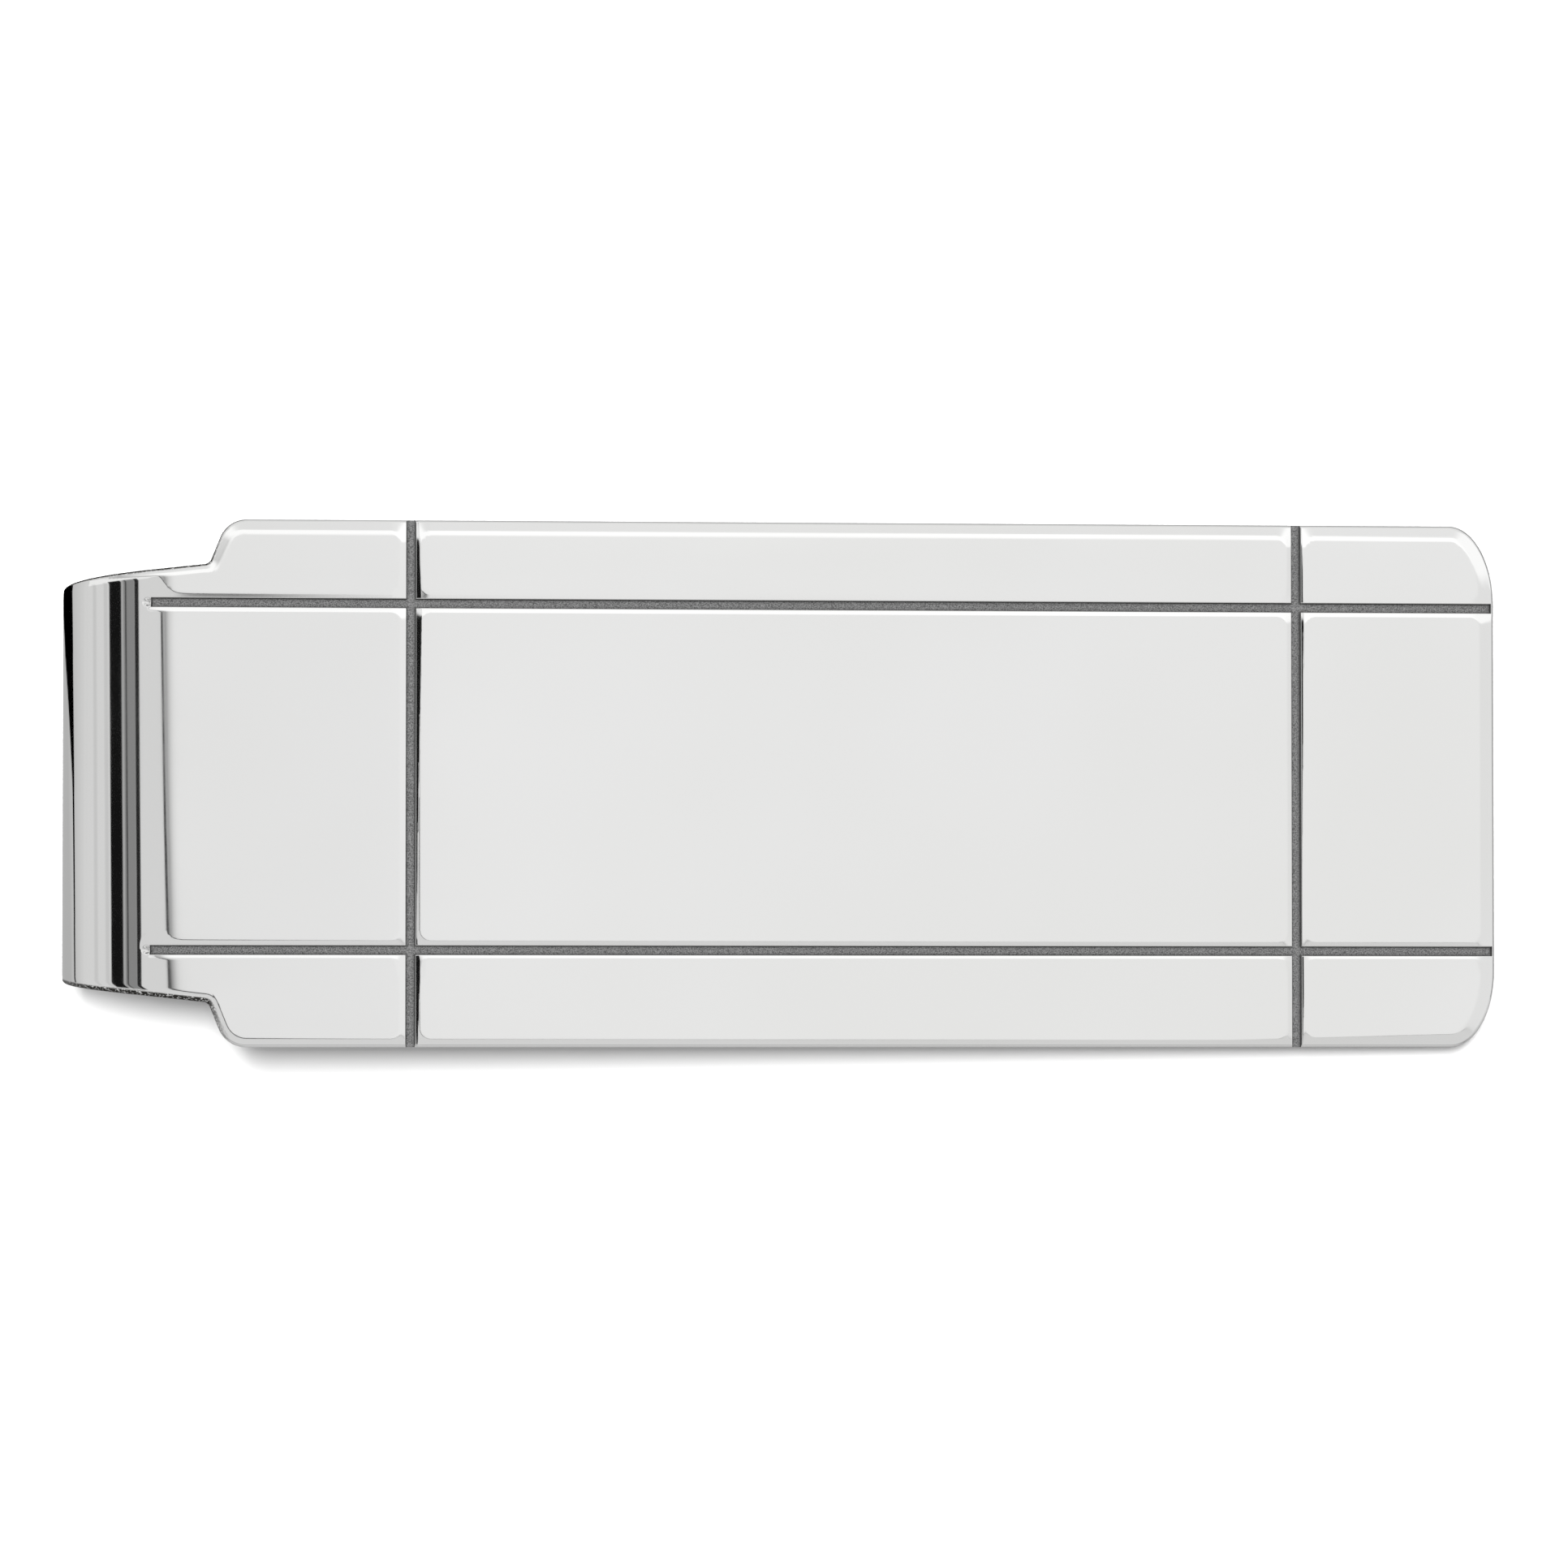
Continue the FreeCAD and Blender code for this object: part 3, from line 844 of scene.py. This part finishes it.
# Grids of the cloths' points, as (first, last, step) of each fine stretch, in degrees round the tunnel
# and elsewhere in metres. Beyond them there are only a few points, and the first is a gap away.
TENT_ANGLES = ((-92, -12, 2.0), (-12, 62, 0.25), (62, 92.5, 1.0))
TENT_FINE = (-0.11, 0.13, 0.002)
TENT_COARSE_POINTS = (32, 30)
CARD_BESIDE_FINE = (-0.060, -0.003, 0.0002)
CARD_BESIDE_COARSE_POINTS = 20
CARD_BEYOND_FINE = (-0.002, 0.060, 0.001)
CARD_ALONG_FINE = (-0.02, 0.0201, 0.0005)
CARD_COARSE_POINTS = 12
GRID_GAP = 0.002
CARD_ALONG_HALF = 0.02

TABLE_SIZE = 6.0
TABLE_TONE = 0.56
TABLE_ROUGHNESS = 0.9
ROOM_TONE = 0.95
OVERHEAD_AT = Vector((0.0, 0.10, 0.9))
OVERHEAD_SIZE = 0.2
OVERHEAD_POWER = 16.5


def floor():
    """White table top."""
    bpy.ops.mesh.primitive_plane_add(size=TABLE_SIZE)
    table = bpy.context.object
    table.name = "table"
    material, nodes, links = new_material("table_white")
    shader = nodes["Principled BSDF"]
    shader.inputs["Base Color"].default_value = (TABLE_TONE, TABLE_TONE, TABLE_TONE, 1)
    shader.inputs["Roughness"].default_value = TABLE_ROUGHNESS
    shader.inputs["Specular IOR Level"].default_value = 0.0
    table.data.materials.append(material)
    table.visible_glossy = False


def cloth(name, x, y, z, glow):
    """A sheet that shows only in the metal, from grids of places and of how bright it is there."""
    count, rows = x.shape
    faces = []
    for i in range(count - 1):
        for j in range(rows - 1):
            a = i * rows + j
            faces.append((a, a + 1, a + rows + 1, a + rows))
    mesh = bpy.data.meshes.new(name)
    mesh.from_pydata(np.column_stack([x.ravel(), y.ravel(), z.ravel()]).tolist(), [], faces)
    paint(mesh, "glow", glow.ravel())
    mesh.materials.append(glowing(name))
    sheet = bpy.data.objects.new(name, mesh)
    bpy.context.scene.collection.objects.link(sheet)
    sheet.visible_camera = False
    sheet.visible_diffuse = False
    sheet.visible_shadow = False


def hung(places, cloth_tone, panels):
    """Tones along a cloth that has panels hung on it."""
    tone = np.full_like(places, cloth_tone)
    for first, last, panel_tone, soft in panels:
        begun = np.clip((places - first) / soft + 0.5, 0, 1)
        not_over = np.clip((last - places) / soft + 0.5, 0, 1)
        tone = tone + (panel_tone - tone) * begun * not_over
    return tone


def border_angle(y):
    """Where the white and the grey cloth meet, at places along the tunnel."""
    towards_front, towards_back = BORDER_TURNS
    straight = BORDER_ANGLE + BAND_LEAN * (y - AHEAD_Y)
    back_turn = (np.maximum(y - towards_back, 0) / BORDER_SHARPNESS) ** 2
    front_turn = (np.maximum(towards_front - y, 0) / BORDER_SHARPNESS) ** 2
    return straight + back_turn - front_turn


def tunnel_glow(angle, y):
    """Brightness of the tunnel at an angle and a place along it."""
    past = angle - border_angle(y)
    low, high = BANDS_REACH
    flagged = np.clip((y - low) / BANDS_FADE, 0, 1) * np.clip((high - y) / BANDS_FADE, 0, 1)
    flags = hung(angle - BAND_LEAN * (y - AHEAD_Y), FOLD_CLOTH, FOLD_PANELS)
    over_fold = FOLD_CLOTH + (flags - FOLD_CLOTH) * flagged
    shaded_width = np.maximum(border_angle(y) - GAP_HALF - PLATE_ANGLE, 1.0)
    over_plate = hung(angle, PLATE_CLOTH, PLATE_PANELS) * curve((past + GAP_HALF) / shaded_width, SHADE)
    white = np.clip((-GAP_HALF - past) / GAP_EDGE, 0, 1)
    grey = np.clip((past - GAP_HALF) / GAP_EDGE, 0, 1)
    tone = GAP_TONE + (over_plate - GAP_TONE) * white + (over_fold - GAP_TONE) * grey
    return tone * hung(y, 1.0, LENGTHWISE_PANELS)


def tent():
    """The tunnel and its two ends."""
    angles = np.concatenate([np.arange(*stretch) for stretch in TENT_ANGLES])
    in_front = np.linspace(-TENT_HALF, TENT_FINE[0] - GRID_GAP, TENT_COARSE_POINTS[0])
    behind = np.linspace(TENT_FINE[1], TENT_HALF, TENT_COARSE_POINTS[1])
    along = np.concatenate([in_front, np.arange(*TENT_FINE), behind])
    angle, y = np.meshgrid(angles, along, indexing="ij")
    x = FOLD_AXIS[0] - TENT_R * np.sin(np.radians(angle))
    z = FOLD_AXIS[2] + TENT_R * np.cos(np.radians(angle))
    cloth("tent", x, y, z, tunnel_glow(angle, y))
    heights = (0, END_DARK_BELOW, END_DARK_BELOW + END_DARK_FADE, TENT_R)
    across, height = np.meshgrid((-TENT_R, TENT_R), heights, indexing="ij")
    for name, side, tone in (("back_cloth", 1, BACK_TONE), ("front_cloth", -1, FRONT_TONE)):
        glow = np.where(height > END_DARK_BELOW, tone, END_DARK)
        cloth(name, FOLD_AXIS[0] + across, np.full_like(across, side * TENT_HALF), height, glow)


def table_card():
    """What the metal sees of the table."""
    left = np.linspace(-TENT_R, CARD_BESIDE_FINE[0] - GRID_GAP, CARD_BESIDE_COARSE_POINTS)
    right = np.linspace(CARD_BEYOND_FINE[1] + GRID_GAP, TENT_R, CARD_COARSE_POINTS)
    beside = np.concatenate([left, np.arange(*CARD_BESIDE_FINE)])
    beyond = np.concatenate([np.arange(*CARD_BEYOND_FINE), right])
    behind = np.linspace(CARD_ALONG_HALF + GRID_GAP, TENT_HALF, CARD_COARSE_POINTS)
    along = np.concatenate([-behind[::-1], np.arange(*CARD_ALONG_FINE), behind])
    x, y = np.meshgrid(np.concatenate([beside, beyond]), along, indexing="ij")
    out_x = np.maximum(x / MM - PLATE_L, 0)
    out_y = np.maximum(np.abs(y) / MM - PLATE_HALF, 0)
    y_mm = np.clip(y / MM, -PLATE_HALF, PLATE_HALF)
    leaning_x = x / MM - CORD_LEAN * y_mm
    shade_beyond = curve(np.hypot(out_x, out_y), CARD_BEYOND)
    glow = np.where(x <= beside[-1], curve(leaning_x, CARD_BESIDE), shade_beyond)
    first, last = CORD
    on_cord = (leaning_x > first) & (leaning_x < last + WEDGE_SPREAD * np.maximum(y_mm, 0))
    glow = np.where(on_cord, CORD_TONE, glow)
    cloth("table_card", x + FOLD_AXIS[0], y, np.full_like(x, CARD_HEIGHT), glow)


def overhead_light():
    """Soft light on the table, aimed at the clip, which the metal doesn't mirror."""
    data = bpy.data.lights.new("overhead", "AREA")
    data.size = OVERHEAD_SIZE
    data.energy = OVERHEAD_POWER
    light = bpy.data.objects.new("overhead", data)
    bpy.context.scene.collection.objects.link(light)
    light.location = OVERHEAD_AT
    light.rotation_euler = (-OVERHEAD_AT).to_track_quat("-Z", "Y").to_euler()
    light.visible_glossy = False
    light.visible_camera = False


def surroundings():
    """White room, overhead light, tent and table card."""
    world = bpy.data.worlds.new("white_room")
    bpy.context.scene.world = world
    world.use_nodes = True
    background = world.node_tree.nodes["Background"]
    background.inputs["Color"].default_value = (1, 1, 1, 1)
    background.inputs["Strength"].default_value = ROOM_TONE
    overhead_light()
    tent()
    table_card()


# ---------------------------------------------------------------- camera
CAMERA_AIM = Vector((0.000227, 0.000045, 0.004))
CAMERA_DISTANCE = 0.25887
CAMERA_TOWARDS_FRONT = 0.0372    # radians away from straight overhead
CAMERA_TOWARDS_END = 0.03034
LENS = 163.8
SENSOR_WIDTH = 36.0
NEAREST_SEEN = 0.01
FURTHEST_SEEN = 20.0


def camera():
    """A long lens nearly straight above the clip."""
    data = bpy.data.cameras.new("camera")
    data.lens = LENS
    data.sensor_width = SENSOR_WIDTH
    data.clip_start = NEAREST_SEEN
    data.clip_end = FURTHEST_SEEN
    view = bpy.data.objects.new("camera", data)
    bpy.context.scene.collection.objects.link(view)
    a, b = CAMERA_TOWARDS_FRONT, CAMERA_TOWARDS_END
    back = Vector((math.sin(b), -math.sin(a) * math.cos(b), math.cos(a) * math.cos(b)))
    right = Vector((0, 1, 0)).cross(back).normalized()
    up = back.cross(right)
    turn = Matrix((right, up, back)).transposed()
    view.matrix_world = Matrix.Translation(CAMERA_AIM + CAMERA_DISTANCE * back) @ turn.to_4x4()
    bpy.context.scene.camera = view


def meeting_marks(side):
    """Stations on one side of where the plate meets the fold."""
    return [side * MEETING_STEP * k for k in range(1, MEETING_STEPS + 1)]


def plate_marks():
    """Stations that the plate needs."""
    outline = [s for s, _ in plate_edge()]
    free_end = [PLATE_L - d for d in END_ROWS]
    shoulder = [CREASE_S + CREASE_R + d for d in END_ROWS]
    return outline + free_end + shoulder + meeting_marks(1) + groove_marks()


def fold_marks():
    """Stations that the fold needs."""
    turns = [-FOLD_R * math.radians(FOLD_STEP * k) for k in range(1, FOLD_STEPS)]
    return turns + meeting_marks(-1) + groove_marks()


def tongue_marks():
    """Stations that the tongue needs."""
    outline = [s for s, _ in tongue_edge()]
    lip = [FOLD_END_S - CLIMB - LIP_LENGTH * k / LIP_STEPS for k in range(LIP_STEPS + 1)]
    return outline + lip + [STRIP_END_S + d for d in END_ROWS]


def clip():
    """The three zones, with their materials and the bodies that they move with."""
    plate = strip_zone("face_plate", 0.0, PLATE_L, plate_marks(), False, True)
    fold = strip_zone("rolled_fold", FOLD_END_S, 0.0, fold_marks(), False, False)
    tongue = strip_zone("grip_tongue", STRIP_END_S, FOLD_END_S, tongue_marks(), True, False)
    metal, cut = polished_metal(), groove_floor()
    for piece in (plate, fold, tongue):
        piece.data.materials.append(metal)
    for piece in (plate, fold):
        piece.data.materials.append(cut)
    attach(plate, "face")
    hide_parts("front_plate")
    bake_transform(fold)
    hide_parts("fold")
    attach(tongue, "tongue")
    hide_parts("back_tongue")


camera()
surroundings()
floor()
clip()
bpy.context.scene.view_settings.view_transform = "Standard"
